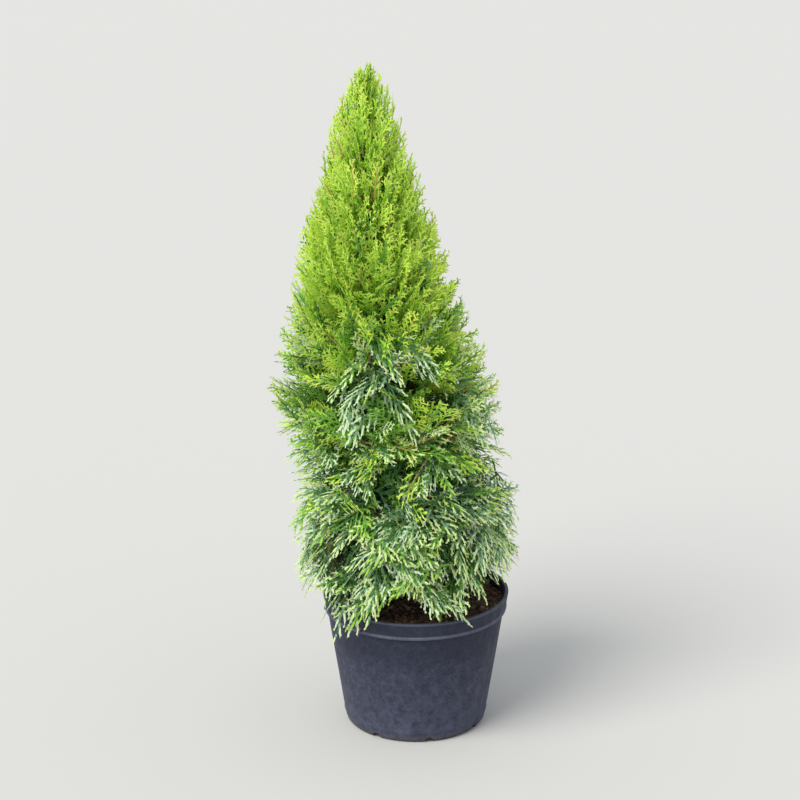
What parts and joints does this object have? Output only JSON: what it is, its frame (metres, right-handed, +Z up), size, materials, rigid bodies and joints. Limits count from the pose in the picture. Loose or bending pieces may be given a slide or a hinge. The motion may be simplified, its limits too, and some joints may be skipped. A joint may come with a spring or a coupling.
{
  "type": "potted thuja",
  "caption": "Young columnar evergreen shrub with a leaning trunk and upright flat sprays, growing in a round tapered plastic nursery pot filled with soil.",
  "frame": {"origin": "centre of the pot's flat underside", "axes": "+Z up along the pot's axis, -Y towards the side that the picture shows, and the trunk leans towards -X"},
  "size_m": [0.3363, 0.3141, 0.9349],
  "materials": {
    "pot": "thin black plastic, dusty and scuffed",
    "soil": "dark crumbly peat with bits of bark and moss",
    "bark": "reddish brown fibrous bark",
    "foliage": "flat sprays of small scale leaves, yellow-green at the tips"
  },
  "bodies": {
    "root": {"pot": "pot", "soil": "soil", "trunk": "bark", "bough_skirt_1": "bark", "bough_skirt_2": "bark", "bough_skirt_3": "bark", "bough_skirt_4": "bark", "bough_skirt_5": "bark", "bough_skirt_6": "bark", "bough_lower_1": "bark", "bough_lower_2": "bark", "bough_lower_3": "bark", "bough_lower_4": "bark", "bough_lower_5": "bark", "bough_middle_1": "bark", "bough_middle_2": "bark", "bough_middle_3": "bark", "bough_middle_4": "bark", "bough_middle_5": "bark", "bough_upper_1": "bark", "bough_upper_2": "bark", "bough_upper_3": "bark", "bough_upper_4": "bark", "bough_shoulder_1": "bark", "bough_shoulder_2": "bark", "bough_shoulder_3": "bark", "bough_shoulder_4": "bark", "bough_spire_1": "bark", "bough_spire_2": "bark", "bough_spire_3": "bark", "foliage_skirt_1": "foliage", "foliage_skirt_2": "foliage", "foliage_skirt_3": "foliage", "foliage_skirt_4": "foliage", "foliage_skirt_5": "foliage", "foliage_skirt_6": "foliage", "foliage_lower_1": "foliage", "foliage_lower_2": "foliage", "foliage_lower_3": "foliage", "foliage_lower_4": "foliage", "foliage_lower_5": "foliage", "foliage_middle_1": "foliage", "foliage_middle_2": "foliage", "foliage_middle_3": "foliage", "foliage_middle_4": "foliage", "foliage_middle_5": "foliage", "foliage_upper_1": "foliage", "foliage_upper_2": "foliage", "foliage_upper_3": "foliage", "foliage_upper_4": "foliage", "foliage_shoulder_1": "foliage", "foliage_shoulder_2": "foliage", "foliage_shoulder_3": "foliage", "foliage_shoulder_4": "foliage", "foliage_spire_1": "foliage", "foliage_spire_2": "foliage", "foliage_spire_3": "foliage", "foliage_top": "foliage"}
  },
  "joints": []
}
